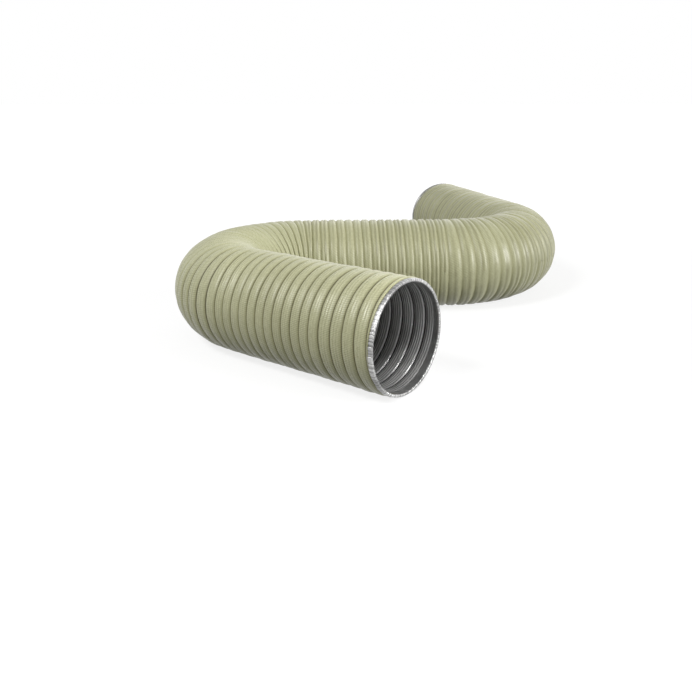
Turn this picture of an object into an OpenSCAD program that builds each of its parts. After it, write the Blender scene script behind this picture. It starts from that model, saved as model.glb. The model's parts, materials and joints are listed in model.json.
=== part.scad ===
// Flexible air duct, lying on a floor in a flat S.
// The duct is wound from two strips: a coated outer strip, whose turns show as crowned bands
// with narrow grooves between them, and a bare aluminium liner strip. Every link of the duct
// holds whole turns of both. A tongue on the far edge of each outer link runs inside the sleeve
// of the next one, so the links can tilt and slide on each other without opening a slit.
// Plan: the near leg runs into bend 1, the straight middle leg, bend 2 and the far leg.
// Frame: +Z up, floor at z = 0, the middle leg along +X, origin at the middle of the footprint.

/* [Path] */
// straight near leg, from its mouth to bend 1
near_leg = 198; // [120:1:300]
// centreline radius of bend 1
bend_1_r = 96; // [85:1:160]
// angle of bend 1
bend_1_angle = 140; // [95:1:170]
// straight middle leg
mid_leg = 160; // [80:1:300]
// centreline radius of bend 2
bend_2_r = 112; // [85:1:180]
// angle of bend 2
bend_2_angle = 106; // [95:1:170]
// straight far leg, from bend 2 to its mouth
far_leg = 226; // [120:1:300]

/* [Turns] */
// turns in each link of the near leg, from the mouth inward
near_turns = [5, 6, 6]; // [3:1:8]
// links in bend 1, two turns each
bend_1_links = 11; // [11:1:11]
// turns in the middle leg
mid_turns = 16; // [8:1:24]
// links in bend 2, two turns each
bend_2_links = 9; // [9:1:9]
// turns in each link of the far leg, from bend 2 outward
far_turns = [5, 5, 5]; // [3:1:8]

/* [Bore and wall] */
// bore of the liner, for a 100 mm spigot
bore_d = 101; // [80:1:160]
// liner strip
liner_t = 0.4; // [0.3:0.1:0.8]
// tongue on the outer strip's far edge
tongue_t = 0.4; // [0.3:0.1:0.8]
// free space round the tongue, inside and outside it
tongue_free = [0.9, 0.7]; // [0.5:0.1:1.5]
// wall left under a groove
groove_wall = 0.5; // [0.4:0.1:1]
// depth of a groove below the shoulder of a band
groove_depth = 0.4; // [0.2:0.1:1]
// rise of a band's crown above its shoulders
crown_rise = 0.6; // [0.5:0.1:1]

/* [Bands] */
// width of the groove between two turns of one link
groove_w = 1.8; // [0.8:0.1:3]
// gap between the bands of two links, on the centreline
link_gap = 3; // [2:0.1:4]
// width of a band's sloping shoulder
bevel = 1.6; // [0.8:0.1:3]
// reach of a tongue past a tilting seam
tilt_tongue = 5; // [4:0.1:6]
// reach of a tongue past a sliding seam
slide_tongue = 9; // [7:0.1:12]
// depth of the flat that the duct rests on
foot_cut = 0.5; // [0.2:0.1:1]

/* [Mouth rims] */
// length of the folded aluminium rim at each mouth
rim_w = 4.2; // [3:0.1:8]
// height of the rim above the bore
rim_h = 2.9; // [2:0.1:3.4]
// rounding of the rim's front edge
rim_round = 1.2; // [0.5:0.1:1.4]
// tail of the rim, held between the two strips
rim_tail = 8; // [4:0.5:15]

/* [Hidden] */
$fa = 4;
$fs = 1;
coat_colour = [0.67, 0.67, 0.55];
metal_colour = [0.74, 0.74, 0.73];

// radii, from the bore outward
bore_r = bore_d / 2;
liner_r = bore_r + liner_t;
seat_r = liner_r + 0.1;
tongue_in = liner_r + tongue_free[0];
tongue_out = tongue_in + tongue_t;
sleeve_r = tongue_out + tongue_free[1];
groove_r = sleeve_r + groove_wall;
shoulder_r = groove_r + groove_depth;
crown_r = shoulder_r + crown_rise;
rim_r = bore_r + rim_h;
rim_gap = 0.3;
axis_h = crown_r - foot_cut;

// links
half_gap = link_gap / 2;
near_link = near_leg / 3;
far_link = far_leg / 3;
bend_1_link = bend_1_r * bend_1_angle * PI / 180 / bend_1_links;
bend_2_link = bend_2_r * bend_2_angle * PI / 180 / bend_2_links;

// plan of the centreline, first with the middle leg's start at 0, 0
near_heading = bend_1_angle;
far_heading = bend_2_angle;
raw_centre_1 = [0, -bend_1_r];
raw_centre_2 = [mid_leg, bend_2_r];
raw_near_end = raw_centre_1 + bend_1_r * [-sin(near_heading), cos(near_heading)];
raw_far_start = raw_centre_2 + bend_2_r * [sin(far_heading), -cos(far_heading)];
raw_near_mouth = raw_near_end - near_leg * [cos(near_heading), sin(near_heading)];
raw_far_mouth = raw_far_start + far_leg * [cos(far_heading), sin(far_heading)];

// how far a mouth's rim reaches past its centre, along Y
function rim_reach(heading) =
    (rim_r - rim_round) * abs(cos(heading)) + rim_round * (1 - abs(sin(heading)));

// middle of the footprint
mid_x = (raw_centre_1[0] - bend_1_r + raw_centre_2[0] + bend_2_r) / 2;
low_y = raw_near_mouth[1] - rim_reach(near_heading);
high_y = raw_far_mouth[1] + rim_reach(far_heading);
centre = [mid_x, (low_y + high_y) / 2];

near_mouth = raw_near_mouth - centre;
mid_start = -centre;
far_start = raw_far_start - centre;
centre_1 = raw_centre_1 - centre;
centre_2 = raw_centre_2 - centre;

// Places a piece of the near leg, u along the path from the mouth.
module on_near_leg(u) {
    translate([near_mouth[0], near_mouth[1], 0])
        rotate([0, 0, near_heading])
            translate([u, 0, 0])
                children();
}

// Places a piece of the far leg, u along the path from bend 2.
module on_far_leg(u) {
    translate([far_start[0], far_start[1], 0])
        rotate([0, 0, far_heading])
            translate([u, 0, 0])
                children();
}

// Turns a profile of [radius, u] points about the duct's axis, along +X.
module turned(points) {
    translate([0, 0, axis_h])
        rotate([0, 90, 0])
            rotate_extrude()
                polygon(points);
}

// Upper outline of one band from b0 to b1, with the groove floors on its inner sides.
function band(b0, b1, first, last) = concat(
    first ? [] : [[groove_r, b0]],
    [[shoulder_r, b0], [crown_r, b0 + bevel], [crown_r, b1 - bevel], [shoulder_r, b1]],
    last ? [] : [[groove_r, b1]]
);

// Upper outline of all bands of a straight link.
function bands(len, turns, start, stop) = [
    for (k = [0 : turns - 1])
        each band(
            k == 0 ? start : k * len / turns + groove_w / 2,
            k == turns - 1 ? stop : (k + 1) * len / turns - groove_w / 2,
            k == 0,
            k == turns - 1
        )
];

// Far edge of a straight link: a step down to the liner, and the tongue.
function tongue_edge(len, stop, tongue) = [
    [tongue_out, stop],
    [tongue_out, len + tongue],
    [tongue_in, len + tongue],
    [tongue_in, stop],
    [seat_r, stop],
    [seat_r, stop - bevel],
    [sleeve_r, stop - bevel]
];

// Outer strip of a straight link, cut flat where it rests on the floor.
module leg_outer(len, turns, start, stop, tongue) {
    edge = tongue > 0 ? tongue_edge(len, stop, tongue) : [[sleeve_r, stop]];
    difference() {
        turned(concat([[sleeve_r, start]], bands(len, turns, start, stop), edge));
        translate([-20, -100, -100])
            cube([len + 40, 200, 100]);
    }
}

// Liner of a straight link.
module leg_liner(start, stop) {
    turned([[bore_r, start], [liner_r, start], [liner_r, stop], [bore_r, stop]]);
}

// Folded rim at a mouth: its front at u = 0, its tail along +X between the strips.
module rim() {
    translate([0, 0, axis_h])
        rotate([0, 90, 0])
            rotate_extrude()
                union() {
                    translate([bore_r, 0])
                        square([rim_h - rim_round, rim_w]);
                    translate([bore_r, rim_round])
                        square([rim_h, rim_w - rim_round]);
                    translate([rim_r - rim_round, rim_round])
                        circle(r = rim_round);
                    translate([seat_r, rim_w - 0.5])
                        square([tongue_t, rim_tail + 0.5]);
                }
}

// Slice of a bend from u0 to u1 on the centreline, between two radii about the duct's axis.
// The path starts at from_angle and turns left (hand = 1) or right (hand = -1) about the
// bend's own centre.
module bend_slice(radius, from_angle, hand, u0, u1, r_in, r_out) {
    deg = 180 / PI / radius;
    rotate([0, 0, from_angle + (hand > 0 ? u0 : -u1) * deg])
        rotate_extrude(angle = (u1 - u0) * deg)
            translate([radius, axis_h])
                difference() {
                    circle(r = r_out);
                    circle(r = r_in);
                }
}

// Wall of a bend link before its grooves are cut, flat where it rests on the floor.
module bend_wall(radius, from_angle, hand, u0, u1) {
    deg = 180 / PI / radius;
    rotate([0, 0, from_angle + (hand > 0 ? u0 : -u1) * deg])
        rotate_extrude(angle = (u1 - u0) * deg)
            difference() {
                translate([radius, axis_h])
                    circle(r = crown_r);
                translate([radius, axis_h])
                    circle(r = sleeve_r);
                translate([radius - 50, -20])
                    square([100, 20]);
            }
}

// Ring that cuts a bend's wall down to a radius.
module bend_cut(radius, from_angle, hand, u0, u1, r_left) {
    bend_slice(radius, from_angle, hand, u0, u1, r_left, crown_r + 3);
}

// Tongue of a bend link: a straight tube from inside the step at u0 to past the seam at u1.
module bend_tongue(radius, from_angle, hand, u0, u1) {
    deg = 180 / PI / radius;
    difference() {
        rotate([0, 0, from_angle + hand * u1 * deg])
            translate([radius, 0, axis_h])
                rotate([-90 * hand, 0, 0])
                    difference() {
                        translate([0, 0, -8])
                            cylinder(r = tongue_out, h = tilt_tongue + 8);
                        translate([0, 0, -9])
                            cylinder(r = tongue_in, h = tilt_tongue + 10);
                    }
        rotate([0, 0, from_angle + hand * u0 * deg])
            translate([radius - 70, hand > 0 ? -30 : 0, axis_h - 70])
                cube([140, 30, 140]);
    }
}

// Outer strip of a bend link: two bands with stepped crowns, the step down and the tongue.
module bend_outer(radius, from_angle, hand, len, k) {
    u0 = k * len + half_gap;
    u1 = (k + 0.5) * len - groove_w / 2;
    u2 = (k + 0.5) * len + groove_w / 2;
    u3 = (k + 1) * len - half_gap;
    difference() {
        bend_wall(radius, from_angle, hand, u0, u3);
        bend_cut(radius, from_angle, hand, u0 - 2, u0 + bevel, shoulder_r);
        bend_cut(radius, from_angle, hand, u1 - bevel, u2 + bevel, shoulder_r);
        bend_cut(radius, from_angle, hand, u1, u2, groove_r);
        bend_cut(radius, from_angle, hand, u3 - bevel, u3 + 2, shoulder_r);
    }
    bend_slice(radius, from_angle, hand, u3 - bevel, u3 - 0.3, seat_r, sleeve_r + 0.3);
    bend_tongue(radius, from_angle, hand, u3 - 1, (k + 1) * len);
}

// Liner of a bend link.
module bend_liner(radius, from_angle, hand, len, k) {
    u0 = k * len + half_gap;
    u1 = (k + 1) * len - half_gap;
    bend_slice(radius, from_angle, hand, u0, u1, bore_r, liner_r);
}

// Link k of bend 1, counted from the near leg.
module bend_1_outer(k) {
    translate([centre_1[0], centre_1[1], 0])
        bend_outer(bend_1_r, 90 + bend_1_angle, -1, bend_1_link, k - 1);
}

module bend_1_liner(k) {
    translate([centre_1[0], centre_1[1], 0])
        bend_liner(bend_1_r, 90 + bend_1_angle, -1, bend_1_link, k - 1);
}

// Link k of bend 2, counted from the middle leg.
module bend_2_outer(k) {
    translate([centre_2[0], centre_2[1], 0])
        bend_outer(bend_2_r, -90, 1, bend_2_link, k - 1);
}

module bend_2_liner(k) {
    translate([centre_2[0], centre_2[1], 0])
        bend_liner(bend_2_r, -90, 1, bend_2_link, k - 1);
}

// Sub-parts, along the duct from the near mouth.
module near_rim() {
    color(metal_colour)
        on_near_leg(0)
            rim();
}

module near_outer_1() {
    color(coat_colour)
        on_near_leg(0)
            leg_outer(near_link, near_turns[0], rim_w + rim_gap, near_link - half_gap, slide_tongue);
}

module near_liner_1() {
    color(metal_colour)
        on_near_leg(0)
            leg_liner(rim_w + rim_gap, near_link - half_gap);
}

module near_outer_2() {
    color(coat_colour)
        on_near_leg(near_link)
            leg_outer(near_link, near_turns[1], half_gap, near_link - half_gap, slide_tongue);
}

module near_liner_2() {
    color(metal_colour)
        on_near_leg(near_link)
            leg_liner(half_gap, near_link - half_gap);
}

module near_outer_3() {
    color(coat_colour)
        on_near_leg(2 * near_link)
            leg_outer(near_link, near_turns[2], half_gap, near_link - half_gap, tilt_tongue);
}

module near_liner_3() {
    color(metal_colour)
        on_near_leg(2 * near_link)
            leg_liner(half_gap, near_link - half_gap);
}

module bend1_outer_01() {
    color(coat_colour)
        bend_1_outer(1);
}

module bend1_liner_01() {
    color(metal_colour)
        bend_1_liner(1);
}

module bend1_outer_02() {
    color(coat_colour)
        bend_1_outer(2);
}

module bend1_liner_02() {
    color(metal_colour)
        bend_1_liner(2);
}

module bend1_outer_03() {
    color(coat_colour)
        bend_1_outer(3);
}

module bend1_liner_03() {
    color(metal_colour)
        bend_1_liner(3);
}

module bend1_outer_04() {
    color(coat_colour)
        bend_1_outer(4);
}

module bend1_liner_04() {
    color(metal_colour)
        bend_1_liner(4);
}

module bend1_outer_05() {
    color(coat_colour)
        bend_1_outer(5);
}

module bend1_liner_05() {
    color(metal_colour)
        bend_1_liner(5);
}

module bend1_outer_06() {
    color(coat_colour)
        bend_1_outer(6);
}

module bend1_liner_06() {
    color(metal_colour)
        bend_1_liner(6);
}

module bend1_outer_07() {
    color(coat_colour)
        bend_1_outer(7);
}

module bend1_liner_07() {
    color(metal_colour)
        bend_1_liner(7);
}

module bend1_outer_08() {
    color(coat_colour)
        bend_1_outer(8);
}

module bend1_liner_08() {
    color(metal_colour)
        bend_1_liner(8);
}

module bend1_outer_09() {
    color(coat_colour)
        bend_1_outer(9);
}

module bend1_liner_09() {
    color(metal_colour)
        bend_1_liner(9);
}

module bend1_outer_10() {
    color(coat_colour)
        bend_1_outer(10);
}

module bend1_liner_10() {
    color(metal_colour)
        bend_1_liner(10);
}

module bend1_outer_11() {
    color(coat_colour)
        bend_1_outer(11);
}

module bend1_liner_11() {
    color(metal_colour)
        bend_1_liner(11);
}

module mid_outer() {
    color(coat_colour)
        translate([mid_start[0], mid_start[1], 0])
            leg_outer(mid_leg, mid_turns, half_gap, mid_leg - half_gap, tilt_tongue);
}

module mid_liner() {
    color(metal_colour)
        translate([mid_start[0], mid_start[1], 0])
            leg_liner(half_gap, mid_leg - half_gap);
}

module bend2_outer_01() {
    color(coat_colour)
        bend_2_outer(1);
}

module bend2_liner_01() {
    color(metal_colour)
        bend_2_liner(1);
}

module bend2_outer_02() {
    color(coat_colour)
        bend_2_outer(2);
}

module bend2_liner_02() {
    color(metal_colour)
        bend_2_liner(2);
}

module bend2_outer_03() {
    color(coat_colour)
        bend_2_outer(3);
}

module bend2_liner_03() {
    color(metal_colour)
        bend_2_liner(3);
}

module bend2_outer_04() {
    color(coat_colour)
        bend_2_outer(4);
}

module bend2_liner_04() {
    color(metal_colour)
        bend_2_liner(4);
}

module bend2_outer_05() {
    color(coat_colour)
        bend_2_outer(5);
}

module bend2_liner_05() {
    color(metal_colour)
        bend_2_liner(5);
}

module bend2_outer_06() {
    color(coat_colour)
        bend_2_outer(6);
}

module bend2_liner_06() {
    color(metal_colour)
        bend_2_liner(6);
}

module bend2_outer_07() {
    color(coat_colour)
        bend_2_outer(7);
}

module bend2_liner_07() {
    color(metal_colour)
        bend_2_liner(7);
}

module bend2_outer_08() {
    color(coat_colour)
        bend_2_outer(8);
}

module bend2_liner_08() {
    color(metal_colour)
        bend_2_liner(8);
}

module bend2_outer_09() {
    color(coat_colour)
        bend_2_outer(9);
}

module bend2_liner_09() {
    color(metal_colour)
        bend_2_liner(9);
}

module far_outer_1() {
    color(coat_colour)
        on_far_leg(0)
            leg_outer(far_link, far_turns[0], half_gap, far_link - half_gap, slide_tongue);
}

module far_liner_1() {
    color(metal_colour)
        on_far_leg(0)
            leg_liner(half_gap, far_link - half_gap);
}

module far_outer_2() {
    color(coat_colour)
        on_far_leg(far_link)
            leg_outer(far_link, far_turns[1], half_gap, far_link - half_gap, slide_tongue);
}

module far_liner_2() {
    color(metal_colour)
        on_far_leg(far_link)
            leg_liner(half_gap, far_link - half_gap);
}

module far_outer_3() {
    color(coat_colour)
        on_far_leg(2 * far_link)
            leg_outer(far_link, far_turns[2], half_gap, far_link - rim_w - rim_gap, 0);
}

module far_liner_3() {
    color(metal_colour)
        on_far_leg(2 * far_link)
            leg_liner(half_gap, far_link - rim_w - rim_gap);
}

module far_rim() {
    color(metal_colour)
        on_far_leg(far_leg)
            rotate([0, 0, 180])
                rim();
}

near_rim();
near_outer_1();
near_liner_1();
near_outer_2();
near_liner_2();
near_outer_3();
near_liner_3();
bend1_outer_01();
bend1_liner_01();
bend1_outer_02();
bend1_liner_02();
bend1_outer_03();
bend1_liner_03();
bend1_outer_04();
bend1_liner_04();
bend1_outer_05();
bend1_liner_05();
bend1_outer_06();
bend1_liner_06();
bend1_outer_07();
bend1_liner_07();
bend1_outer_08();
bend1_liner_08();
bend1_outer_09();
bend1_liner_09();
bend1_outer_10();
bend1_liner_10();
bend1_outer_11();
bend1_liner_11();
mid_outer();
mid_liner();
bend2_outer_01();
bend2_liner_01();
bend2_outer_02();
bend2_liner_02();
bend2_outer_03();
bend2_liner_03();
bend2_outer_04();
bend2_liner_04();
bend2_outer_05();
bend2_liner_05();
bend2_outer_06();
bend2_liner_06();
bend2_outer_07();
bend2_liner_07();
bend2_outer_08();
bend2_liner_08();
bend2_outer_09();
bend2_liner_09();
far_outer_1();
far_liner_1();
far_outer_2();
far_liner_2();
far_outer_3();
far_liner_3();
far_rim();
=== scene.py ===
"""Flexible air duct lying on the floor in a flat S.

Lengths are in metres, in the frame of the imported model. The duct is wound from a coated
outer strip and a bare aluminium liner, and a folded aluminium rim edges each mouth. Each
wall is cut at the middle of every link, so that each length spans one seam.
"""

import json
import math
from types import SimpleNamespace

import bpy
import numpy as np
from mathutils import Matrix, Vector

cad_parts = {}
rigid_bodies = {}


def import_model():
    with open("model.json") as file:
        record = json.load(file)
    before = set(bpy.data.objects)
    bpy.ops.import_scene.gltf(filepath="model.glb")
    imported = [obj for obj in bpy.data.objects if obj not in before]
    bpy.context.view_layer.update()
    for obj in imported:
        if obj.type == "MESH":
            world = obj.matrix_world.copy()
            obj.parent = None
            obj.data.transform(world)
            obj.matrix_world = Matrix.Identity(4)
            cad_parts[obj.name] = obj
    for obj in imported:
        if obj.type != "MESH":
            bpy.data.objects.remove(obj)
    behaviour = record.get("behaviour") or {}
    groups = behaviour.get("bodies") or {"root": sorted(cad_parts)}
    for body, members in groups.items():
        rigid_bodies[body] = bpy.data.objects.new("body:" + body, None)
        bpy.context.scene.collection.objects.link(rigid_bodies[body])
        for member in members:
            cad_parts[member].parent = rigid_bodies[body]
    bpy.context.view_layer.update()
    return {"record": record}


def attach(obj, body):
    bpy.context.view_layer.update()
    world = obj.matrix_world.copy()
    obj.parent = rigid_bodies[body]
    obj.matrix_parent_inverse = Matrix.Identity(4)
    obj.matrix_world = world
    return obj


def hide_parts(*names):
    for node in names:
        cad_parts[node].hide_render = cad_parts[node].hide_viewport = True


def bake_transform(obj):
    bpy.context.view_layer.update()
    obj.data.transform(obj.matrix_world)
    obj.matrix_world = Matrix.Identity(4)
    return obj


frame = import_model()

MM = 0.001
FULL_TURN = 2 * math.pi

# Run of the duct, from the near mouth to the far one: length and bend (1 / radius)
NEAR_LEG = 198 * MM
BEND_1_R = 96 * MM
BEND_1_ANGLE = math.radians(140)
BEND_1_LENGTH = BEND_1_R * BEND_1_ANGLE
BEND_1 = -1 / BEND_1_R
MID_LEG = 160 * MM
BEND_2_R = 112 * MM
BEND_2_ANGLE = math.radians(106)
BEND_2_LENGTH = BEND_2_R * BEND_2_ANGLE
BEND_2 = 1 / BEND_2_R
FAR_LEG = 226 * MM
RUNS = [
    (NEAR_LEG, 0.0),
    (BEND_1_LENGTH, BEND_1),
    (MID_LEG, 0.0),
    (BEND_2_LENGTH, BEND_2),
    (FAR_LEG, 0.0),
]
DUCT_LENGTH = sum(length for length, bend in RUNS)
AXIS_HEIGHT = 53.9 * MM
AXIS_POINTS = 520
NEAR_MOUTH = next(m for m in frame["record"]["mounts"] if m["name"] == "near_mouth")

# Turns of the strip in each link
NEAR_TURNS = [5, 6, 6]
BEND_1_LINKS = 11
MID_TURNS = 16
BEND_2_LINKS = 9
FAR_TURNS = [5, 5, 5]
BEND_LINK_TURNS = 2

RIM_WIDTH = 4.2 * MM


def axis_at(station):
    """Point and heading of the duct's axis, this far from the near mouth."""
    x, y = NEAR_MOUTH["pos_m"][:2]
    heading = math.atan2(-NEAR_MOUTH["axis"][1], -NEAR_MOUTH["axis"][0])
    remaining = station
    for length, bend in RUNS:
        step = min(remaining, length)
        if bend:
            turned = heading + bend * step
            x += (math.sin(turned) - math.sin(heading)) / bend
            y += (math.cos(heading) - math.cos(turned)) / bend
            heading = turned
        else:
            x += step * math.cos(heading)
            y += step * math.sin(heading)
        remaining -= step
        if remaining <= 0:
            break
    return Vector((x, y, AXIS_HEIGHT)), Vector((math.cos(heading), math.sin(heading), 0))


def links():
    """Every link in order: its names, where it lies on the axis, its turns and its bend."""
    rows = []
    for i, turns in enumerate(NEAR_TURNS, 1):
        rows.append(("near", f"_{i}", NEAR_LEG / len(NEAR_TURNS), turns, 0.0))
    for i in range(1, BEND_1_LINKS + 1):
        rows.append(("bend1", f"_{i:02d}", BEND_1_LENGTH / BEND_1_LINKS, BEND_LINK_TURNS, BEND_1))
    rows.append(("mid", "", MID_LEG, MID_TURNS, 0.0))
    for i in range(1, BEND_2_LINKS + 1):
        rows.append(("bend2", f"_{i:02d}", BEND_2_LENGTH / BEND_2_LINKS, BEND_LINK_TURNS, BEND_2))
    for i, turns in enumerate(FAR_TURNS, 1):
        rows.append(("far", f"_{i}", FAR_LEG / len(FAR_TURNS), turns, 0.0))

    found = []
    start = 0.0
    first_turn = 0
    for leg, number, length, turns, bend in rows:
        end = start + length
        found.append(
            SimpleNamespace(
                body=f"{leg}{number}",
                outer=f"{leg}_outer{number}",
                liner=f"{leg}_liner{number}",
                start=start,
                middle=(start + end) / 2,
                first_turn=first_turn,
                last_turn=first_turn + turns,
                pitch=(end - start) / turns,
                bend=bend,
                by_mouth=leg in ("near", "far"),
            )
        )
        start = end
        first_turn += turns
    return found


def add_object(name, data):
    """New object of this data, put into the scene."""
    thing = bpy.data.objects.new(name, data)
    bpy.context.scene.collection.objects.link(thing)
    return thing


class Wiring:
    """Short calls to add nodes to a tree and link them."""

    # A Mix node has its two colours and their mix among its other sockets.
    MIX_COLOURS = (6, 7)
    MIX_RESULT = 2

    def __init__(self, tree):
        self.tree = tree

    def put(self, value, socket):
        if isinstance(value, bpy.types.NodeSocket):
            self.tree.links.new(value, socket)
        else:
            socket.default_value = value

    def add(self, kind, inputs=None, **settings):
        node = self.tree.nodes.new(kind)
        for name, value in settings.items():
            setattr(node, name, value)
        for key, value in (inputs or {}).items():
            self.put(value, node.inputs[key])
        return node

    def math(self, operation, *values):
        node = self.add("ShaderNodeMath", operation=operation)
        for value, socket in zip(values, node.inputs):
            self.put(value, socket)
        return node.outputs[0]

    def vector(self, operation, first, second=(0, 0, 0)):
        node = self.add("ShaderNodeVectorMath", operation=operation)
        self.put(first, node.inputs[0])
        self.put(second, node.inputs["Scale" if operation == "SCALE" else 1])
        return node.outputs["Value" if operation == "LENGTH" else 0]

    def parts(self, vector):
        return self.add("ShaderNodeSeparateXYZ", {0: vector}).outputs

    def join(self, **axes):
        return self.add("ShaderNodeCombineXYZ", axes).outputs[0]

    def rescale(self, value, low, high, start=0.0, end=1.0, smooth=False):
        """Value carried from low and high over to start and end, and held beyond them."""
        node = self.add(
            "ShaderNodeMapRange",
            {"Value": value, "From Min": low, "From Max": high, "To Min": start, "To Max": end},
            interpolation_type="SMOOTHSTEP" if smooth else "LINEAR",
        )
        return node.outputs[0]

    def curve(self, value, points, handles="AUTO"):
        """Value read off a curve drawn through given points in the unit square."""
        node = self.add("ShaderNodeFloatCurve", {"Value": value})
        line = node.mapping.curves[0]
        while len(line.points) < len(points):
            line.points.new(0.5, 0.5)
        for point, place in zip(line.points, points):
            point.location = place
            point.handle_type = handles
        node.mapping.update()
        return node.outputs[0]

    def ramp(self, value, stops):
        """Colour read off a ramp of (position, colour) stops."""
        node = self.add("ShaderNodeValToRGB", {"Fac": value})
        band = node.color_ramp
        while len(band.elements) < len(stops):
            band.elements.new(0.5)
        for element, (place, colour) in zip(band.elements, stops):
            element.position = place
            element.color = (*colour, 1)
        return node.outputs["Color"]

    def tint(self, colour, value, stops):
        """Colour multiplied by the one that a value reads off a ramp."""
        node = self.add("ShaderNodeMix", {"Factor": 1.0}, data_type="RGBA", blend_type="MULTIPLY")
        for shade, key in zip((colour, self.ramp(value, stops)), self.MIX_COLOURS):
            self.put(shade, node.inputs[key])
        return node.outputs[self.MIX_RESULT]

    def noise(self, vector, scale, detail=2.0, roughness=0.5):
        """Outputs of a noise with this many waves to one unit of the vector."""
        inputs = {"Vector": vector, "Scale": scale, "Detail": detail, "Roughness": roughness}
        return self.add("ShaderNodeTexNoise", inputs).outputs


def grey(level):
    return (level, level, level)


# Noise seldom goes below or above these two values.
NOISE_LOW = 0.35
NOISE_HIGH = 0.65
# Streaks along a strip are drawn with a rougher noise.
STREAK_ROUGHNESS = 0.6

# Fine ribs that the rolls press into a strip, deeper in some patches than in others
RIBS_PER_TURN = 170.37
RIBS_PER_METRE_ACROSS = 260.0
RIB_PATCHES_PER_METRE = 45
SHALLOW_RIB = 0.04
DEEP_RIB = 0.5
RIB_BUMP = 0.2 * MM

# Khaki coat. A strip's own coordinates are turns along it, metres across it and the
# height in millimetres to which it is pressed.
CLOUDS_PER_METRE = 14
CLOUD_TONES = [(0.3, (0.430, 0.428, 0.260)), (0.7, (0.500, 0.500, 0.314))]
COAT_STREAKS = (60, 900, 1)
STREAK_TONES = [(NOISE_LOW, (0.88, 0.88, 0.87)), (NOISE_HIGH, grey(1.0))]
# Painted shade in the grooves: darkest in the groove, gone high on the band
GROOVE_SHADE_TONES = [
    (0.02, (0.20, 0.19, 0.14)),
    (0.25, (0.68, 0.665, 0.59)),
    (0.5, (0.92, 0.915, 0.89)),
    (0.8, grey(1.0)),
]
COAT_PRESS = (-0.4, 0.2)
# Painted shade in the valleys of pressed lines and folds, and painted highlight on their crests
PRESSED_SHADE_TONES = [(0.0, (0.72, 0.71, 0.66)), (0.6, (0.98, 0.98, 0.97)), (1.0, grey(1.10))]
# Painted shade in the troughs of the fine ribs and painted highlight on their tops, with grain
RIB_SHADE_TONES = [(0.2, (0.80, 0.80, 0.78)), (0.8, grey(1.07))]
GRAINS_PER_METRE = 900
COAT_ROUGHNESS = 0.17
ROUGHER_STREAK = 0.14
ROUGHER_GROOVE = 0.4
ROUGHER_GRAIN = 0.08
COAT_BUMP_STRENGTH = 0.6

# Bare aluminium. The painted shade in the hollow of a pressed line begins and is full at these
# shares of its press.
ROLLING_LINES = (25, 2600, 1)
ROLLING_TONES = [(0.3, grey(0.72)), (0.7, grey(1.0))]
DULL_PATCHES_PER_METRE = 32
ROUGHER_PATCH = 0.14
METAL_PRESS = (-0.2, 0.2)
LINE_BEGINS = 0.1
LINE_IS_FULL = 0.8
METAL_BUMP_STRENGTH = 0.45


def new_material(name):
    """New material with the wiring of its nodes and its shader."""
    material = bpy.data.materials.new(name)
    material.use_nodes = True
    shader = material.node_tree.nodes["Principled BSDF"]
    return material, Wiring(material.node_tree), shader


def strip_surface(n):
    """Place of a point in the frame, its height on its band as a mask for painted shade, and its
    place on its strip.
    """
    place = n.add("ShaderNodeTexCoord").outputs["Object"]
    relief = n.add("ShaderNodeAttribute", attribute_name="relief").outputs["Fac"]
    strip = n.add("ShaderNodeAttribute", attribute_name="strip").outputs["Vector"]
    return place, relief, strip


def pressed_ribs(n, strip, place, grain):
    """Height of the fine slanting ribs and of the grain that they are pressed into."""
    on_strip = n.parts(strip)
    slant = n.math("MULTIPLY", on_strip["Y"], RIBS_PER_METRE_ACROSS)
    ribs = n.math("MULTIPLY_ADD", on_strip["X"], RIBS_PER_TURN, slant)
    rib = n.math("SINE", n.math("MULTIPLY", ribs, FULL_TURN))
    patches = n.noise(place, RIB_PATCHES_PER_METRE, detail=3)["Fac"]
    deeper = n.rescale(patches, NOISE_LOW, NOISE_HIGH, SHALLOW_RIB, DEEP_RIB)
    return n.math("MULTIPLY_ADD", rib, deeper, grain)


def add_bump(n, shader, height, strength):
    """Lets the fine ribs and grain catch the light."""
    inputs = {"Height": height, "Strength": strength, "Distance": RIB_BUMP}
    n.put(n.add("ShaderNodeBump", inputs).outputs["Normal"], shader.inputs["Normal"])


def coated_strip_material():
    """Khaki enamel on thin aluminium: satin, painted shade in the grooves, painted shade and
    highlight on lines, folds and ribs.
    """
    material, n, shader = new_material("khaki_coat")
    place, relief, strip = strip_surface(n)
    along = n.vector("MULTIPLY", strip, COAT_STREAKS)
    streaks = n.noise(along, scale=1, detail=3, roughness=STREAK_ROUGHNESS)["Fac"]
    pressed_shade = n.rescale(n.parts(strip)["Z"], *COAT_PRESS)
    grain = n.noise(place, GRAINS_PER_METRE, detail=2)["Fac"]
    ribs = pressed_ribs(n, strip, place, grain)

    coat = n.ramp(n.noise(place, CLOUDS_PER_METRE, detail=3)["Fac"], CLOUD_TONES)
    coat = n.tint(coat, streaks, STREAK_TONES)
    # Painted shade in the grooves; painted shade and highlight on the pressed lines, folds and
    # ribs
    coat = n.tint(coat, relief, GROOVE_SHADE_TONES)
    coat = n.tint(coat, pressed_shade, PRESSED_SHADE_TONES)
    coat = n.tint(coat, ribs, RIB_SHADE_TONES)
    n.put(coat, shader.inputs["Base Color"])

    rough = n.math("MULTIPLY_ADD", streaks, ROUGHER_STREAK, COAT_ROUGHNESS)
    rough = n.math("MULTIPLY_ADD", n.math("SUBTRACT", 1.0, relief), ROUGHER_GROOVE, rough)
    rough = n.math("MULTIPLY_ADD", grain, ROUGHER_GRAIN, rough)
    n.put(rough, shader.inputs["Roughness"])
    add_bump(n, shader, ribs, COAT_BUMP_STRENGTH)
    return material


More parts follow.
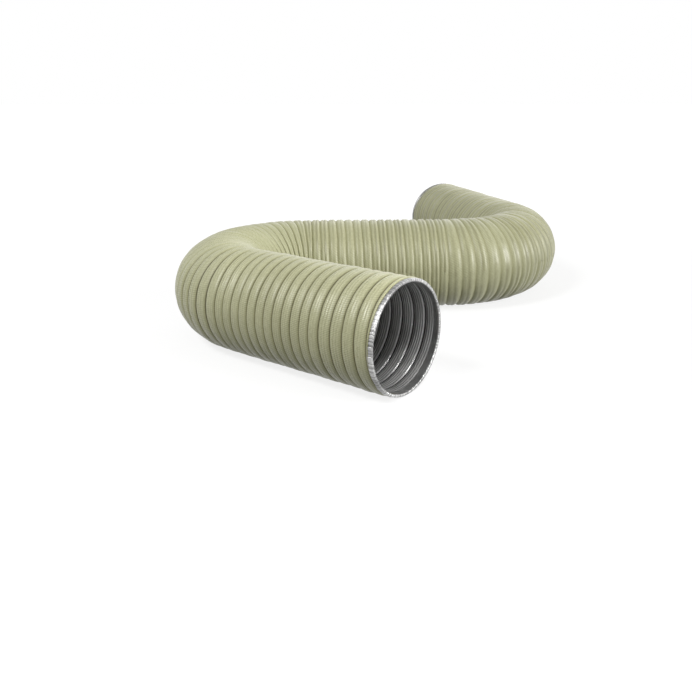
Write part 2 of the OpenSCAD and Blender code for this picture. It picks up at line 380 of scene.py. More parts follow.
def bare_aluminium_material(name, tone, patch_tone, roughness, metallic, hollow_shade_tones, line_hollow_shade):
    """Rolled aluminium strip: fine rolling lines along it, a few duller patches and painted shade
    in its hollows and those of its pressed lines.
    """
    material, n, shader = new_material(name)
    place, relief, strip = strip_surface(n)
    along = n.vector("MULTIPLY", strip, ROLLING_LINES)
    rolled = n.noise(along, scale=1, detail=3, roughness=STREAK_ROUGHNESS)["Fac"]
    patches = n.noise(place, DULL_PATCHES_PER_METRE, detail=3)["Fac"]
    lines = n.rescale(n.parts(strip)["Z"], *METAL_PRESS)

    dark = tuple(patch_tone * level for level in tone)
    metal = n.ramp(patches, [(NOISE_LOW, dark), (NOISE_HIGH, tone)])
    metal = n.tint(metal, rolled, ROLLING_TONES)
    # Painted shade in the hollows, then in the hollows of the pressed lines
    metal = n.tint(metal, relief, hollow_shade_tones)
    line_shade_tones = [(LINE_BEGINS, grey(1.0)), (LINE_IS_FULL, grey(line_hollow_shade))]
    metal = n.tint(metal, lines, line_shade_tones)
    n.put(metal, shader.inputs["Base Color"])

    n.put(n.math("MULTIPLY_ADD", patches, ROUGHER_PATCH, roughness), shader.inputs["Roughness"])
    add_bump(n, shader, pressed_ribs(n, strip, place, rolled), METAL_BUMP_STRENGTH)
    shader.inputs["Metallic"].default_value = metallic
    return material


class TreeSockets:
    """A new Geometry Nodes tree with named inputs, and the way to set them on an object."""

    KINDS = {int: "NodeSocketInt", float: "NodeSocketFloat", object: "NodeSocketObject"}

    def __init__(self, name, inputs):
        self.tree = bpy.data.node_groups.new(name, "GeometryNodeTree")
        self.ids = {}
        interface = self.tree.interface
        for label, kind in inputs.items():
            socket = interface.new_socket(label, in_out="INPUT", socket_type=self.KINDS[kind])
            self.ids[label] = socket.identifier
        interface.new_socket("Geometry", in_out="OUTPUT", socket_type="NodeSocketGeometry")
        self.given = self.tree.nodes.new("NodeGroupInput").outputs
        self.result = self.tree.nodes.new("NodeGroupOutput").inputs[0]

    def build(self, name, values):
        """Plain mesh object made by the tree from these input values."""
        base = add_object(name, bpy.data.meshes.new(name))
        modifier = base.modifiers.new("shape", "NODES")
        modifier.node_group = self.tree
        for label, value in values.items():
            modifier[self.ids[label]] = value
        grown = base.evaluated_get(bpy.context.evaluated_depsgraph_get())
        mesh = bpy.data.meshes.new_from_object(grown)
        base.modifiers.remove(modifier)
        old = base.data
        base.data = mesh
        bpy.data.meshes.remove(old)
        mesh.name = name
        return base


# Points this close are one point.
SAME_POINT = 0.01 * MM
# The lowest that a point may lie. Only the floor sets a limit.
FLOOR_LIMIT = (-9, -9, 0.0)


def finish_tree(n, mesh, attributes, point, flipped, material, result):
    """Tail of a tree: attributes, places, closed seams, smooth shading and the material."""
    for name, (kind, value) in attributes.items():
        mesh = n.add(
            "GeometryNodeStoreNamedAttribute",
            {"Geometry": mesh, "Name": name, "Value": value},
            data_type=kind,
            domain="POINT",
        ).outputs[0]
    point = n.vector("MAXIMUM", point, FLOOR_LIMIT)
    mesh = n.add("GeometryNodeSetPosition", {"Geometry": mesh, "Position": point}).outputs[0]
    merge = {"Geometry": mesh, "Distance": SAME_POINT}
    mesh = n.add("GeometryNodeMergeByDistance", merge).outputs[0]
    if flipped:
        mesh = n.add("GeometryNodeFlipFaces", {"Mesh": mesh}).outputs[0]
    smooth = n.add("GeometryNodeSetShadeSmooth", {"Geometry": mesh}).outputs[0]
    real = n.add("GeometryNodeRealizeInstances", {"Geometry": smooth}).outputs[0]
    painted = n.add("GeometryNodeSetMaterial", {"Geometry": real, "Material": material})
    n.put(painted.outputs[0], result)


def frame_on_axis(n, centreline, station):
    """Point on the duct's axis, its heading and the direction to its right, at this station."""
    path = n.add("GeometryNodeObjectInfo", {"Object": centreline}, transform_space="ORIGINAL")
    sample = n.add(
        "GeometryNodeSampleCurve",
        {"Curves": path.outputs["Geometry"], "Length": station},
        mode="LENGTH",
        use_all_curves=True,
    )
    heading = sample.outputs["Tangent"]
    right = n.vector("NORMALIZE", n.vector("CROSS_PRODUCT", heading, (0, 0, 1)))
    return sample.outputs["Position"], heading, right


def outward_from_axis(n, right, cosine, sine):
    """Direction from the axis to a point at this angle round the duct."""
    return n.vector("ADD", n.vector("SCALE", right, cosine), n.join(Z=sine))


def flat_grid(n, last_row, columns):
    """A flat grid, one unit to a cell, and where each of its points lies from its middle."""
    sizes = {
        "Size X": last_row,
        "Size Y": columns,
        "Vertices X": n.math("ADD", last_row, 1),
        "Vertices Y": n.math("ADD", columns, 1),
    }
    grid = n.add("GeometryNodeMeshGrid", sizes).outputs["Mesh"]
    return grid, n.parts(n.add("GeometryNodeInputPosition").outputs[0])


WALL_INPUTS = {
    "Centreline": object,
    "Start": float,
    "End": float,
    "Seam": float,
    "Seam Turn": float,
    "Pitch Before": float,
    "Pitch After": float,
    "Bend Before": float,
    "Bend After": float,
    "First Turn": float,
    "Last Row": int,
    "Columns": int,
    "Radius": float,
    "Groove Depth": float,
    "Unevenness": float,
    "Lines per Turn": float,
    "Line Height": float,
    "Slack From": float,
    "Slack To": float,
    "Folds per Turn": float,
    "Fold Height": float,
    "Dent Depth": float,
    "Slip": float,
    "Near Lip": float,
    "Far Lip": float,
}
# Keeps a row that begins a turn from being rounded into the turn before.
ROW_NUDGE = 0.01
# Share of a turn on each side of a groove that has no pressed lines
SLIT = 0.05
# On a bend: how much wider a groove gets outside, and how gathering deepens it inside
SLIT_OPENING = 0.2
MOST_GATHERED = 1.4
DEPTH_BY_GATHERING = 0.35
# Each turn is pressed by chance to at least this share, and the lines fade where it is slack.
LEAST_PRESSED = 0.35
LINES_WHERE_SLACK = 0.2
FOLD_DRIFT = 0.5
KNOCKS_PER_METRE = 26
# Lines and folds fade out towards the groove, with this power of the band's height.
FADE_POWER = 2.0
# Shade of an open groove and of a fold's valley, as shares of a band's height
OPEN_GROOVE_LIGHT = 0.33
VALLEY_SHADE = 0.4
# The strip's edge is turned down under the rim.
LIP_LENGTH = 1.4 * MM
LIP_DROP = 1.7 * MM


def winding(n, given, spacing):
    """Grid that a strip is wound from, and where its points come to lie along the duct.

    Rows of the grid follow the strip and columns go round the duct. A station beyond either
    end is held at that end, so the cut is flat and neighbouring lengths meet point to point.
    """
    grid, flat = flat_grid(n, given["Last Row"], given["Columns"])
    row = n.math("ROUND", n.math("MULTIPLY_ADD", given["Last Row"], 0.5, flat["X"]))
    column = n.math("ROUND", n.math("MULTIPLY_ADD", given["Columns"], 0.5, flat["Y"]))
    around = n.math("DIVIDE", column, given["Columns"])
    turned = n.math("DIVIDE", n.math("ADD", row, ROW_NUDGE), len(spacing) - 1)
    whole = n.math("FLOOR", turned)
    phase = n.curve(n.math("SUBTRACT", turned, whole), spacing, "VECTOR")
    turn = n.math("ADD", n.math("ADD", given["First Turn"], whole), n.math("ADD", phase, around))

    ahead = n.math("SUBTRACT", turn, given["Seam Turn"])
    past = n.math("GREATER_THAN", ahead, 0.0)
    change = n.math("SUBTRACT", given["Pitch After"], given["Pitch Before"])
    pitch = n.math("MULTIPLY_ADD", past, change, given["Pitch Before"])
    free = n.math("MULTIPLY_ADD", ahead, pitch, given["Seam"])
    station = n.math("MINIMUM", n.math("MAXIMUM", free, given["Start"]), given["End"])
    ahead = n.math("DIVIDE", n.math("SUBTRACT", station, given["Seam"]), pitch)
    unwound = n.math("SUBTRACT", n.math("ADD", ahead, given["Seam Turn"]), around)
    return SimpleNamespace(
        grid=grid,
        around=around,
        pitch=pitch,
        station=station,
        ahead=ahead,
        turn=n.math("FLOOR", unwound),
        across=n.math("FRACT", unwound),
        gathered=n.rescale(station, given["Slack From"], given["Slack To"], smooth=True),
    )


def band_profile(n, given, at, cosine, tight, slack):
    """Height of a band, from 0 in its groove to 1 on its crown, and the groove's depth.

    The strip is gathered on the inside of a bend, so its grooves are deeper there. On the
    outside it is drawn apart, and they are wider. Bends that differ pass into each other over
    one turn on each side of the seam.
    """
    over = n.rescale(at.ahead, -1.0, 1.0, smooth=True)
    more = n.math("SUBTRACT", given["Bend After"], given["Bend Before"])
    bend = n.math("MULTIPLY_ADD", over, more, given["Bend Before"])
    side = n.math("MULTIPLY", n.math("MULTIPLY", bend, given["Radius"]), cosine)
    gather = n.math("DIVIDE", 1.0, n.math("ADD", 1.0, side))
    gather = n.math("MINIMUM", gather, MOST_GATHERED)
    deeper = n.math("MULTIPLY_ADD", gather, DEPTH_BY_GATHERING, 1 - DEPTH_BY_GATHERING)
    depth = n.math("MULTIPLY", given["Groove Depth"], deeper)
    opened = n.math("MAXIMUM", n.math("SUBTRACT", 1.0, gather), 0.0)
    spread = n.math("MULTIPLY_ADD", opened, SLIT_OPENING, 1.0)
    place = n.math("MULTIPLY_ADD", n.math("SUBTRACT", at.across, 0.5), spread, 0.5)
    place = n.math("MINIMUM", n.math("MAXIMUM", place, 0.0), 1.0)
    shape = n.math("MULTIPLY", n.curve(place, tight), n.math("SUBTRACT", 1.0, at.gathered))
    shape = n.math("MULTIPLY_ADD", n.curve(place, slack), at.gathered, shape)
    return shape, depth


def pressed_lines(n, given, at, chance, knock):
    """Height of the lines pressed along a band."""
    step = FULL_TURN / (1 - 2 * SLIT)
    phase = n.math("MULTIPLY", n.math("SUBTRACT", at.across, SLIT), step)
    line = n.math("COSINE", n.math("MULTIPLY", phase, given["Lines per Turn"]))
    firm = n.math("MULTIPLY_ADD", chance, 1 - LEAST_PRESSED, LEAST_PRESSED)
    size = n.math("MULTIPLY", n.math("MULTIPLY", firm, given["Line Height"]), knock)
    taut = n.math("SUBTRACT", 1.0, at.gathered)
    stays = n.math("MULTIPLY_ADD", taut, 1 - LINES_WHERE_SLACK, LINES_WHERE_SLACK)
    return n.math("MULTIPLY", line, n.math("MULTIPLY", size, stays))


def slack_folds(n, given, at, drift, chance, knock):
    """Line of the small folds in a slack band, 1 in each valley, and how deep they are."""
    full_turn = n.math("MULTIPLY", at.across, FULL_TURN)
    half_turn = n.math("MULTIPLY", n.math("MULTIPLY_ADD", drift, FOLD_DRIFT, full_turn), 0.5)
    crest = n.math("SINE", n.math("MULTIPLY", half_turn, given["Folds per Turn"]))
    fold = n.math("SUBTRACT", 1.0, n.math("ABSOLUTE", crest))
    firm = n.math("MULTIPLY_ADD", chance, 1 - LEAST_PRESSED, LEAST_PRESSED)
    return fold, n.math("MULTIPLY", n.math("MULTIPLY", firm, knock), at.gathered)


def wound_wall_tree(name, material, tight, slack, spacing, inward):
    """Tree that winds a profiled strip round the centreline between two stations.

    The profile is the tight one up to the first slack station and the slack one past the
    second, where the strip has been gathered and stays in small folds.
    """
    sockets = TreeSockets(name, WALL_INPUTS)
    n = Wiring(sockets.tree)
    given = sockets.given
    at = winding(n, given, spacing)
    centre, heading, right = frame_on_axis(n, given["Centreline"], at.station)
    angle = n.math("MULTIPLY", at.around, -FULL_TURN)
    cosine = n.math("COSINE", angle)
    outward = outward_from_axis(n, right, cosine, n.math("SINE", angle))
    shape, depth = band_profile(n, given, at, cosine, tight, slack)

    # Knocks vary from place to place, and chance from turn to turn. A knock is 0.5 on average.
    round_point = n.vector("ADD", centre, n.vector("SCALE", outward, given["Radius"]))
    knock = n.parts(n.noise(round_point, KNOCKS_PER_METRE, detail=2)["Color"])
    dent = n.math("MULTIPLY", n.math("SUBTRACT", knock["X"], 0.5), given["Dent Depth"])
    slip = n.math("MULTIPLY", n.math("SUBTRACT", knock["Y"], 0.5), given["Slip"])
    harder = n.math("MULTIPLY", knock["Z"], 2.0)
    luck = n.add("ShaderNodeTexWhiteNoise", {"W": at.turn}, noise_dimensions="1D")
    chance = n.parts(luck.outputs["Color"])

    lower = n.math("MULTIPLY", n.math("MULTIPLY", chance["X"], given["Unevenness"]), -1.0)
    height = n.math("MULTIPLY", depth, n.math("ADD", lower, 1.0))
    line = pressed_lines(n, given, at, chance["Z"], harder)
    fold, fold_size = slack_folds(n, given, at, chance["Y"], chance["Z"], harder)
    folded = n.math("MULTIPLY", fold, n.math("MULTIPLY", fold_size, given["Fold Height"]))
    fade = n.math("POWER", shape, FADE_POWER)
    pressed = n.math("MULTIPLY", n.math("SUBTRACT", line, folded), fade)

    lip = 0.0
    for label, edge, sign in (("Near Lip", "Start", 1), ("Far Lip", "End", -1)):
        inside = n.math("MULTIPLY", n.math("SUBTRACT", at.station, given[edge]), sign)
        bare = n.rescale(inside, 0.0, LIP_LENGTH, 1.0, 0.0, smooth=True)
        lip = n.math("MULTIPLY_ADD", bare, given[label], lip)

    radius = n.math("SUBTRACT", given["Radius"], depth)
    radius = n.math("MULTIPLY_ADD", height, shape, radius)
    radius = n.math("ADD", radius, n.math("ADD", pressed, dent))
    radius = n.math("SUBTRACT", radius, n.math("MULTIPLY", lip, LIP_DROP))
    point = n.vector("ADD", centre, n.vector("SCALE", outward, radius))
    point = n.vector("ADD", point, n.vector("SCALE", heading, slip))

    strip = n.join(
        X=n.math("ADD", at.turn, at.around),
        Y=n.math("MULTIPLY", at.across, at.pitch),
        Z=n.math("DIVIDE", pressed, MM),
    )
    # Mask for painted shade: the band's height, lifted in open grooves, lowered in fold valleys
    # and brought to nothing along the lip under the rim.
    open_light = n.math("MULTIPLY", at.gathered, OPEN_GROOVE_LIGHT)
    open_groove = n.math("MULTIPLY", n.math("SUBTRACT", 1.0, shape), open_light)
    valley = n.math("MULTIPLY", fold, n.math("MULTIPLY", fold_size, VALLEY_SHADE))
    relief = n.math("ADD", shape, open_groove)
    relief = n.math("SUBTRACT", relief, n.math("MULTIPLY", valley, shape))
    relief = n.math("MULTIPLY", relief, n.math("SUBTRACT", 1.0, lip))
    attributes = {"relief": ("FLOAT", relief), "strip": ("FLOAT_VECTOR", strip)}
    finish_tree(n, at.grid, attributes, point, not inward, material, sockets.result)
    return sockets


RIM_INPUTS = {
    "Centreline": object,
    "Mouth": float,
    "Way In": float,
    "Columns": int,
    "Rows": int,
    "Inner Radius": float,
    "Radial Size": float,
    "Depth": float,
    "Pleats": float,
    "Pleat Height": float,
}
# Pleats crowd together and thin out with a noise of this many waves to a rim's radius.
PLEAT_WAVES = 12
PLEAT_ROUGHNESS = 0.7
PLEAT_CROWDING = 22.0
SMALLEST_PLEAT = 0.1
PLEAT_INWARD = 0.7
RIM_KNOCKS_PER_METRE = 60
RIM_DENT = 0.5 * MM
# Width of the rim's strip, folded out flat
RIM_STRIP = 30 * MM


def folded_rim_tree(name, material, inset, rise, pleated):
    """Tree for a rim: the liner turned out over the mouth and pressed into small pleats.

    The section is a closed loop, given by its inset from the mouth, its rise from the bore
    and how deeply it is pleated, each along the loop.
    """
    sockets = TreeSockets(name, RIM_INPUTS)
    n = Wiring(sockets.tree)
    given = sockets.given
    grid, flat = flat_grid(n, given["Rows"], given["Columns"])
    loop = n.math("ADD", n.math("DIVIDE", flat["X"], given["Rows"]), 0.5)
    around = n.math("ADD", n.math("DIVIDE", flat["Y"], given["Columns"]), 0.5)
    angle = n.math("MULTIPLY", around, FULL_TURN)
    cosine = n.math("COSINE", angle)
    sine = n.math("SINE", angle)

    round_place = n.join(X=cosine, Y=sine)
    uneven = n.noise(round_place, PLEAT_WAVES, detail=3, roughness=PLEAT_ROUGHNESS)
    uneven = n.parts(uneven["Color"])
    even = n.math("MULTIPLY", angle, given["Pleats"])
    wave = n.math("SINE", n.math("MULTIPLY_ADD", uneven["X"], PLEAT_CROWDING, even))
    wave = n.math("MULTIPLY", wave, n.curve(loop, pleated))
    pleat_size = n.rescale(uneven["Y"], NOISE_LOW, NOISE_HIGH, SMALLEST_PLEAT, 1.0)
    pleat = n.math("MULTIPLY", wave, n.math("MULTIPLY", pleat_size, given["Pleat Height"]))

    inward = n.math("MULTIPLY", n.curve(loop, inset), given["Depth"])
    inward = n.math("MULTIPLY_ADD", pleat, PLEAT_INWARD, inward)
    station = n.math("MULTIPLY_ADD", inward, given["Way In"], given["Mouth"])
    centre, heading, right = frame_on_axis(n, given["Centreline"], station)
    outward = outward_from_axis(n, right, cosine, sine)
    rises = n.curve(loop, rise)
    radius = n.math("MULTIPLY_ADD", rises, given["Radial Size"], given["Inner Radius"])
    round_point = n.vector("ADD", centre, n.vector("SCALE", outward, radius))
    knock = n.noise(round_point, RIM_KNOCKS_PER_METRE, detail=2)["Fac"]
    dent = n.math("MULTIPLY", n.math("SUBTRACT", knock, 0.5), RIM_DENT)
    radius = n.math("ADD", radius, n.math("ADD", pleat, dent))
    point = n.vector("ADD", centre, n.vector("SCALE", outward, radius))

    strip = n.join(X=around, Y=n.math("MULTIPLY", loop, RIM_STRIP))
    # Mask for painted shade in the valleys of the pleats, 0.5 where there are none
    relief = n.math("MULTIPLY_ADD", wave, 0.5, 0.5)
    attributes = {"relief": ("FLOAT", relief), "strip": ("FLOAT_VECTOR", strip)}
    finish_tree(n, grid, attributes, point, False, material, sockets.result)
    return sockets


# One turn of each strip, from groove to groove: where it is and how high it stands there
OUTER_TIGHT = [
    (0.0, 0.0),
    (0.025, 0.03),
    (0.05, 0.18),
    (0.10, 0.44),
    (0.18, 0.66),
    (0.30, 0.84),
    (0.45, 0.95),
    (0.58, 1.0),
    (0.70, 0.98),
    (0.80, 0.90),
    (0.88, 0.72),
    (0.925, 0.50),
    (0.95, 0.30),
    (0.975, 0.05),
    (1.0, 0.0),
]
OUTER_SLACK = [
    (0.0, 0.0),
    (0.03, 0.08),
    (0.08, 0.34),
    (0.18, 0.68),
    (0.32, 0.93),
    (0.48, 1.0),
    (0.62, 0.98),
    (0.76, 0.84),
    (0.88, 0.52),
    (0.95, 0.20),
    (1.0, 0.0),
]
LINER_TIGHT = [
    (0.0, 0.0),
    (0.03, 0.05),
    (0.06, 0.35),
    (0.12, 0.62),
    (0.25, 0.84),
    (0.45, 0.97),
    (0.60, 1.0),
    (0.75, 0.94),
    (0.86, 0.78),
    (0.93, 0.52),
    (0.97, 0.22),
    (1.0, 0.0),
]
ROWS_PER_LINE = 4

# Sizes of the two walls. A wall's grooves are shifted back by so many turns from the links'
# ends, and those of the liner, which stand outwards, miss those of the coated strip.
OUTER_LINES = 4
OUTER_SHIFT = 0.0
OUTER_SIZES = {
    "Radius": 54.3 * MM,
    "Groove Depth": 2.5 * MM,
    "Unevenness": 0.22,
    "Lines per Turn": float(OUTER_LINES),
    "Line Height": 0.28 * MM,
    "Slack From": 300 * MM,
    "Slack To": 460 * MM,
    "Folds per Turn": 2.0,
    "Fold Height": 1.1 * MM,
    "Dent Depth": 1.0 * MM,
    "Slip": 1.6 * MM,
}
LINER_LINES = 5
LINER_SHIFT = 0.75
# The liner is tight all along: its slack would begin past the far mouth.
LINER_SIZES = {
    "Radius": 50.5 * MM,
    "Groove Depth": -1.5 * MM,
    "Unevenness": 0.15,
    "Lines per Turn": float(LINER_LINES),
    "Line Height": 0.26 * MM,
    "Slack From": 2.0,
    "Slack To": 3.0,
    "Folds per Turn": 0.0,
    "Fold Height": 0.0,
    "Dent Depth": 0.5 * MM,
    "Slip": 0.9 * MM,
}
# Columns round the duct. Fewer where only the dark of the bore would show them.
COLUMNS = 288
DEEP_COLUMNS = 96

# Lengths meet where their points are this close.
MEETING_DISTANCE = 0.02 * MM
# Keeps a normal of no length from being divided by nothing.
LEAST_LENGTH = 1e-9


def row_places(lines):
    """Where the rows of one turn lie: close in the slit, then a few to each pressed line."""
    count = ROWS_PER_LINE * lines
    flat = [SLIT + (1 - 2 * SLIT) * i / count for i in range(count + 1)]
    places = [0, SLIT / 2, *flat, 1 - SLIT / 2, 1]
    return [(i / (len(places) - 1), place) for i, place in enumerate(places)]


def centreline_object():
    """The duct's axis as a poly curve, for the trees to sample. Removed when they have."""
    curve = bpy.data.curves.new("axis", "CURVE")
    curve.dimensions = "3D"
    spline = curve.splines.new("POLY")
    spline.points.add(AXIS_POINTS - 1)
    for i, point in enumerate(spline.points):
        point.co = (*axis_at(DUCT_LENGTH * i / (AXIS_POINTS - 1))[0], 1)
    return add_object("axis", curve)


def wall_lengths(chain):
    """The lengths that a wall is cut into: links before and after, ends, seam and its turn."""
    first = chain[0]
    last = chain[-1]
    found = [(None, first, RIM_WIDTH, first.middle, 0.0, 0)]
    for before, after in zip(chain, chain[1:]):
        found.append((before, after, before.middle, after.middle, after.start, after.first_turn))
    end = DUCT_LENGTH - RIM_WIDTH
    found.append((last, None, last.middle, end, DUCT_LENGTH, last.last_turn))
    return found


def build_wall(kind, tree, lines, sizes, shift, chain, centreline):
    """Every length of one wall, with the links that it joins and where their seam is."""
    made = []
    for before, after, start, end, seam, seam_turn in wall_lengths(chain):
        seam_turn += shift
        joined = [link for link in (before, after) if link]
        pitch_before = joined[0].pitch
        pitch_after = joined[-1].pitch
        first = math.floor(seam_turn + (start - seam) / pitch_before) - 1
        turns = math.ceil(seam_turn + (end - seam) / pitch_after) - first
        deep = kind == "liner" and not any(link.by_mouth for link in joined)
        values = {
            **sizes,
            "Columns": DEEP_COLUMNS if deep else COLUMNS,
            "Centreline": centreline,
            "Start": start,
            "End": end,
            "Seam": seam,
            "Seam Turn": float(seam_turn),
            "Pitch Before": pitch_before,
            "Pitch After": pitch_after,
            "Bend Before": joined[0].bend,
            "Bend After": joined[-1].bend,
            "First Turn": float(first),
            "Last Row": turns * (len(row_places(lines)) - 1),
            "Near Lip": 1.0 if before is None and kind == "strip" else 0.0,
            "Far Lip": 1.0 if after is None and kind == "strip" else 0.0,
        }
        name = "_".join([kind, *(link.body for link in joined)])
        made.append((tree.build(name, values), before, after, seam))
    return made


def join_normals(things):
    """Gives lengths that meet the normals of one unbroken wall along their cuts."""
    sums = {}
    meshes = []
    for thing in things:
        mesh = thing.data
        count = len(mesh.vertices)
        places = np.empty(count * 3, np.float32)
        mesh.vertices.foreach_get("co", places)
        normals = np.empty(count * 3, np.float32)
        mesh.vertex_normals.foreach_get("vector", normals)
        normals = normals.reshape(-1, 3)
        edges = np.empty(len(mesh.loops), np.int64)
        mesh.loops.foreach_get("edge_index", edges)
        lone = np.flatnonzero(np.bincount(edges, minlength=len(mesh.edges)) == 1)
        pairs = np.empty(len(mesh.edges) * 2, np.int64)
        mesh.edges.foreach_get("vertices", pairs)
        cut = np.unique(pairs.reshape(-1, 2)[lone])
        cells = np.rint(places.reshape(-1, 3)[cut] / MEETING_DISTANCE).astype(int)
        keys = [tuple(cell) for cell in cells]
        for key, vertex in zip(keys, cut):
            sums[key] = sums.get(key, 0) + normals[vertex]
        meshes.append((mesh, normals, cut, keys))
    for mesh, normals, cut, keys in meshes:
        joined = np.array([sums[key] for key in keys])
        sizes = np.maximum(np.linalg.norm(joined, axis=1), LEAST_LENGTH)
        normals[cut] = joined / sizes[:, None]
        mesh.normals_split_custom_set_from_vertices(normals)


def fasten(made, layer):
    """Ties the end lengths of a wall to their bodies, bakes the others where they lie, and hides
    the CAD nodes that the lengths stand for.
    """
    for thing, before, after, seam in made:
        if before and after:
            point, heading = axis_at(seam)
            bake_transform(thing)
        else:
            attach(thing, (after or before).body)
        if after:
            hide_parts(getattr(after, layer))


# Section of a rim, as a loop from its tail in the bore, out over the mouth and back: place
# on the loop, depth of the pleats, and the inset from the mouth and the radius in mm
RIM_LOOP = [
    (0.0, 0.0, 9.0, 50.9),
    (0.18, 0.0, 5.0, 50.6),
    (0.34, 0.25, 1.2, 50.4),
    (0.42, 0.9, 0.2, 50.9),
    (0.48, 1.0, 0.0, 51.8),
    (0.54, 1.0, 0.1, 52.7),
    (0.62, 1.0, 1.0, 53.3),
    (0.72, 1.0, 2.6, 53.4),
    (0.80, 1.0, 4.0, 53.2),
    (0.84, 0.9, 4.3, 52.7),
    (0.89, 0.5, 3.9, 52.2),
    (0.94, 0.1, 6.0, 51.9),
    (0.98, 0.0, 8.8, 51.5),
    (1.0, 0.0, 9.0, 50.9),
]
RIM_INNER = 50.0 * MM
RIM_SIZE = 4.0 * MM
RIM_DEPTH = 10.0 * MM
RIM_SIZES = {
    "Columns": 960,
    "Rows": 32,
    "Inner Radius": RIM_INNER,
    "Radial Size": RIM_SIZE,
    "Depth": RIM_DEPTH,
    "Pleats": 100.0,
    "Pleat Height": 0.42 * MM,
}
# Each rim: its name, mouth and way in, and the body and node that it goes with
RIMS = [
    ("rim_near", 0.0, 1.0, "near_1", "near_rim"),
    ("rim_far", DUCT_LENGTH, -1.0, "far_3", "far_rim"),
]


def build_rims(tree, centreline):
    """Both rims, each with the body and the node that it goes with."""
    made = []
    for name, mouth, way_in, body, node in RIMS:
        places = {"Centreline": centreline, "Mouth": mouth, "Way In": way_in}
        rim = tree.build(name, {**RIM_SIZES, **places})
        if way_in < 0:
            rim.data.flip_normals()
        made.append((rim, body, node))
    return made


def build_duct():
    """Winds both walls and folds both rims, and ties the rims and the walls' end lengths to the
    model.
    """
    liner_metal = bare_aluminium_material(
        "bare_aluminium",
        tone=(0.87, 0.87, 0.855),
        patch_tone=0.84,
        roughness=0.33,
        metallic=0.74,
        # Painted shade in the seams and in the hollows of the pressed lines
        hollow_shade_tones=[(0.05, grey(0.03)), (0.35, grey(0.35)), (0.65, grey(1.0))],
        line_hollow_shade=0.36,
    )
    rim_metal = bare_aluminium_material(
        "pressed_aluminium",
        tone=(0.72, 0.72, 0.71),
        patch_tone=0.5,
        roughness=0.30,
        metallic=0.8,
        # Painted shade in the valleys of the pleats
        hollow_shade_tones=[(0.0, grey(0.5)), (0.7, grey(1.0))],
        line_hollow_shade=1.0,
    )
    strip_tree = wound_wall_tree(
        "wound coated strip",
        coated_strip_material(),
        OUTER_TIGHT,
        OUTER_SLACK,
        row_places(OUTER_LINES),
        inward=False,
    )
    liner_tree = wound_wall_tree(
        "wound liner",
        liner_metal,
        LINER_TIGHT,
        LINER_TIGHT,
        row_places(LINER_LINES),
        inward=True,
    )
    rim_tree = folded_rim_tree(
        "folded rim",
        rim_metal,
        [(at, inset * MM / RIM_DEPTH) for at, pleat, inset, radius in RIM_LOOP],
        [(at, (radius * MM - RIM_INNER) / RIM_SIZE) for at, pleat, inset, radius in RIM_LOOP],
        [(at, pleat) for at, pleat, inset, radius in RIM_LOOP],
    )

    chain = links()
    axis = centreline_object()
    strips = build_wall("strip", strip_tree, OUTER_LINES, OUTER_SIZES, OUTER_SHIFT, chain, axis)
    liners = build_wall("liner", liner_tree, LINER_LINES, LINER_SIZES, LINER_SHIFT, chain, axis)
    rims = build_rims(rim_tree, axis)
    axis_curve = axis.data
    bpy.data.objects.remove(axis)
    bpy.data.curves.remove(axis_curve)

    for wall in (strips, liners):
        join_normals([thing for thing, *rest in wall])
    fasten(strips, "outer")
    fasten(liners, "liner")
    for rim, body, node in rims:
        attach(rim, body)
        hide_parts(node)


# Floor: white to the eye but a dull grey to the lamps, so that it throws little light back.
# It glows less round the duct, where it has to keep the shadow.
FLOOR_CORNERS = [(-9, -9, 0), (9, -9, 0), (9, 9, 0), (-9, 9, 0)]
FLOOR_ALBEDO = 0.21
FLOOR_ROUGHNESS = 0.8
FLOOR_GLOW = (0.825, 1.0)
FLOOR_GLOW_REACH = (0.4, 1.4)

# Light of the world, at the horizon and how much more overhead
SKY_LOW = 0.12
SKY_RISE = 0.31
SKY_POWER = 0.8

# Suns: the direction they stand in, strength and how wide they look in degrees
SUNS = {
    "right": ((0.88, -0.42, 0.30), 2.4, 30),
    "back": ((0.25, 0.85, 0.42), 0.3, 40),
}
# The main lamp is near enough for its light to fall off along the duct.
SOFTBOX_PLACE = (-0.94, -1.04, 1.44)
SOFTBOX_SIZE = 0.5
SOFTBOX_POWER = 21.8
# A small spot reaches into the near mouth.
MOUTH_LAMP_PLACE = (0.14, -0.57, 0.57)
MOUTH_LAMP_AIM = (0.01, -0.300, 0.02)
MOUTH_LAMP_POWER = 18.0
MOUTH_LAMP_RADIUS = 0.05
MOUTH_LAMP_WIDTH = math.radians(8.5)
MOUTH_LAMP_BLEND = 0.8

# Camera at the photograph's viewing angle
CAMERA_PLACE = (-0.05949, -0.96245, 0.27094)
CAMERA_DOWN = 14.936
CAMERA_TURN = -2.142
SENSOR_WIDTH = 36
FOCAL_LENGTH = 40.447
SHIFT_X = -0.0289
SHIFT_Y = -0.0809
CLIP_START = 0.01


def seen_rays(n):
    """1 for a ray that shows the background itself or its reflection, and 0 for light."""
    rays = n.add("ShaderNodeLightPath").outputs
    seen = n.math("MAXIMUM", rays["Is Camera Ray"], rays["Is Glossy Ray"])
    return n.math("MAXIMUM", seen, rays["Is Transmission Ray"])


def stage_floor():
    """Pale floor that reads as white to the camera and keeps the shadow."""
    mesh = bpy.data.meshes.new("floor")
    mesh.from_pydata(FLOOR_CORNERS, [], [(0, 1, 2, 3)])
    material, n, shader = new_material("pale_floor")
    shader.inputs["Base Color"].default_value = (*grey(FLOOR_ALBEDO), 1)
    shader.inputs["Roughness"].default_value = FLOOR_ROUGHNESS
    shader.inputs["Specular IOR Level"].default_value = 0.0
    shader.inputs["Emission Color"].default_value = (1, 1, 1, 1)
    away = n.vector("LENGTH", n.add("ShaderNodeTexCoord").outputs["Object"])
    glow = n.rescale(away, *FLOOR_GLOW_REACH, *FLOOR_GLOW)
    n.put(n.math("MULTIPLY", seen_rays(n), glow), shader.inputs["Emission Strength"])
    mesh.materials.append(material)
    add_object("floor", mesh)


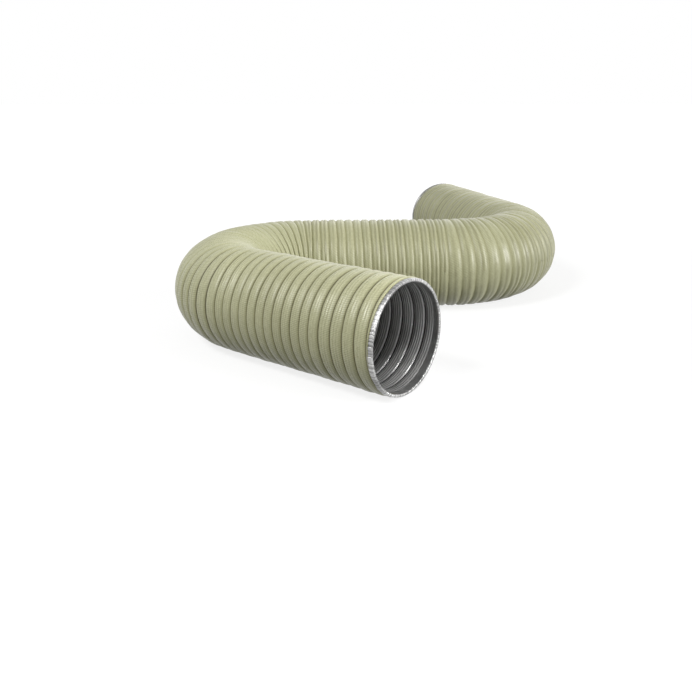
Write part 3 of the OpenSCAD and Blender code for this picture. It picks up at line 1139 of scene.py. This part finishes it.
def add_lamp(name, kind, place, aim, power):
    """Lamp of this kind that stands at a place and points at its aim."""
    lamp = bpy.data.lights.new(name, kind)
    lamp.energy = power
    thing = add_object(name, lamp)
    thing.location = place
    way = Vector(aim) - Vector(place)
    thing.rotation_euler = way.to_track_quat("-Z", "Y").to_euler()
    return lamp


def studio_light():
    """Soft light from above and in front, and a plain white world behind."""
    world = bpy.data.worlds.new("studio")
    bpy.context.scene.world = world
    world.use_nodes = True
    n = Wiring(world.node_tree)
    background = world.node_tree.nodes["Background"]
    background.inputs["Color"].default_value = (1, 1, 1, 1)
    way = n.parts(n.add("ShaderNodeTexCoord").outputs["Generated"])
    rise = n.math("POWER", n.math("MAXIMUM", way["Z"], 0.0), SKY_POWER)
    soft = n.math("MULTIPLY_ADD", rise, SKY_RISE, SKY_LOW)
    n.put(n.math("MAXIMUM", soft, seen_rays(n)), background.inputs["Strength"])

    for name, (place, strength, width) in SUNS.items():
        sun = add_lamp(name, "SUN", place, (0, 0, 0), strength)
        sun.angle = math.radians(width)
    softbox = add_lamp("softbox", "AREA", SOFTBOX_PLACE, (0, 0, 0), SOFTBOX_POWER)
    softbox.shape = "DISK"
    softbox.size = SOFTBOX_SIZE
    spot = add_lamp("mouth", "SPOT", MOUTH_LAMP_PLACE, MOUTH_LAMP_AIM, MOUTH_LAMP_POWER)
    spot.shadow_soft_size = MOUTH_LAMP_RADIUS
    spot.spot_size = MOUTH_LAMP_WIDTH
    spot.spot_blend = MOUTH_LAMP_BLEND


def photo_camera():
    """Camera that sees the duct as the photograph does."""
    camera = bpy.data.cameras.new("camera")
    camera.sensor_width = SENSOR_WIDTH
    camera.lens = FOCAL_LENGTH
    camera.shift_x = SHIFT_X
    camera.shift_y = SHIFT_Y
    camera.clip_start = CLIP_START
    thing = add_object("camera", camera)
    thing.location = CAMERA_PLACE
    thing.rotation_euler = (math.radians(90 - CAMERA_DOWN), 0, math.radians(CAMERA_TURN))
    bpy.context.scene.camera = thing


build_duct()
stage_floor()
studio_light()
photo_camera()
bpy.context.scene.view_settings.view_transform = "Standard"
